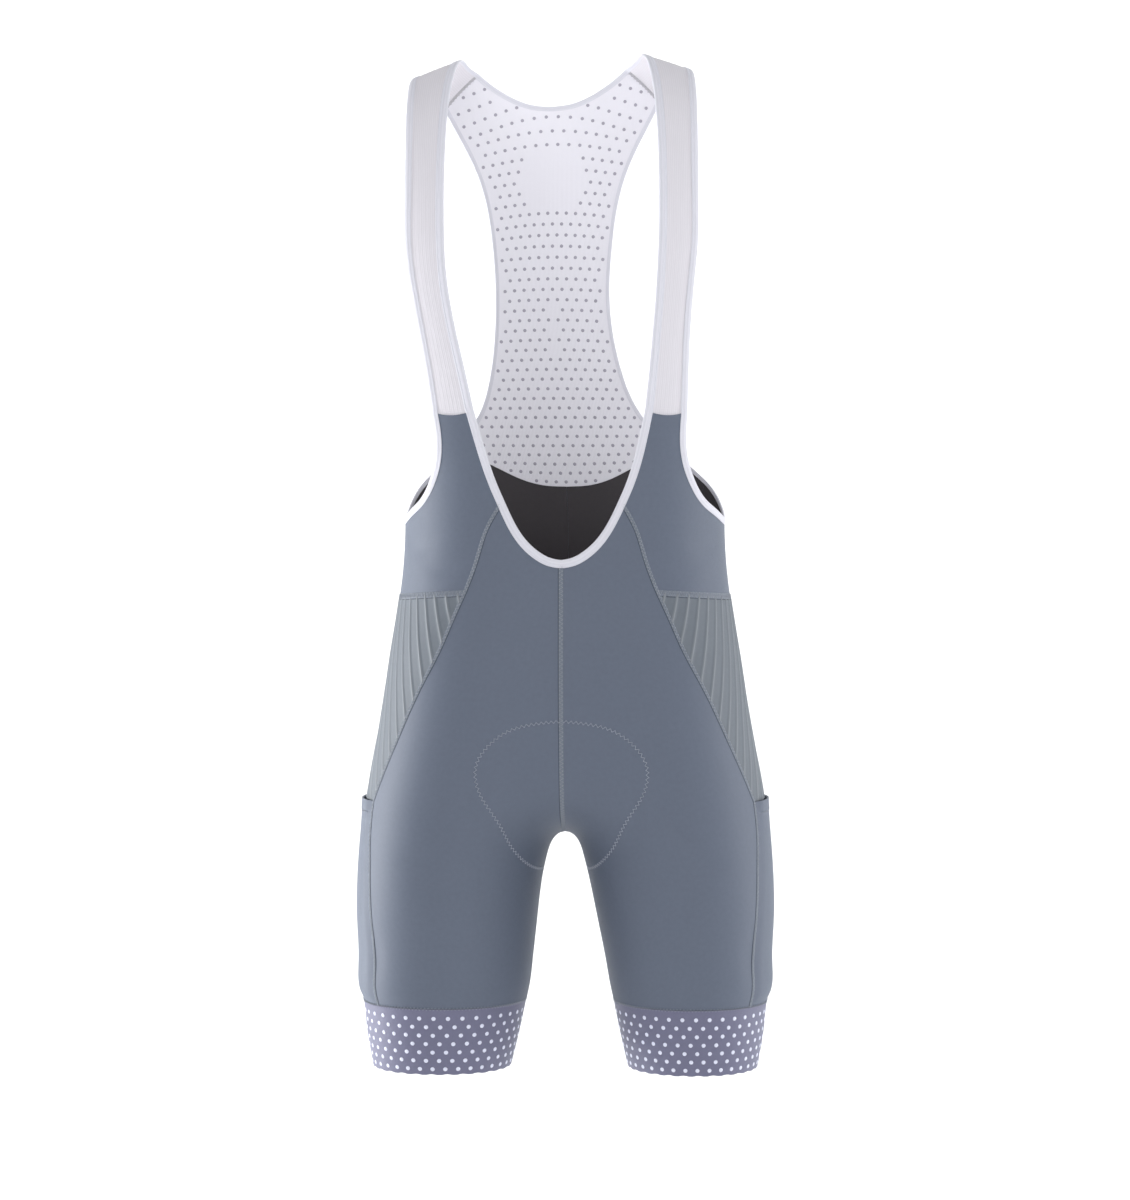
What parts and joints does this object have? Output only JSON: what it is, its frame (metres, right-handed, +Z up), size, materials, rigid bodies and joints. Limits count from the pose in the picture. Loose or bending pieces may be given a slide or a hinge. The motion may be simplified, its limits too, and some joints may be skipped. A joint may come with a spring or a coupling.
{
  "type": "cycling bib shorts",
  "caption": "Close-fitting cycling bib shorts with elastic shoulder straps, a dotted mesh back, ribbed side panels, thigh pockets and dotted leg bands, filled out as worn.",
  "frame": {"origin": "on top of the shoulders, midway between the two straps, where the wearer holds the garment up", "axes": "+Z up, the garment's front faces -Y, +X towards the wearer's left"},
  "size_m": [0.3676, 0.2402, 0.8903],
  "materials": {
    "grey_knit": "matte stretch knit with a soft sheen",
    "ribbed_knit": "matte stretch knit with raised ribs",
    "white_elastic": "matte white elastic tape",
    "dotted_mesh": "fine white mesh with small grey dots",
    "dotted_band": "smooth grey knit with raised white gripper dots"
  },
  "bodies": {
    "root": {"front_left": "grey_knit", "seat_left": "grey_knit", "bib_side_left": "grey_knit", "ribbed_side_left": "ribbed_knit", "thigh_side_left": "grey_knit", "pocket_left": "grey_knit", "leg_band_left": "dotted_band", "strap_left": "white_elastic", "armhole_binding_left": "white_elastic", "front_right": "grey_knit", "seat_right": "grey_knit", "bib_side_right": "grey_knit", "ribbed_side_right": "ribbed_knit", "thigh_side_right": "grey_knit", "pocket_right": "grey_knit", "leg_band_right": "dotted_band", "strap_right": "white_elastic", "armhole_binding_right": "white_elastic", "back_mesh": "dotted_mesh", "neck_binding": "white_elastic"}
  },
  "joints": []
}
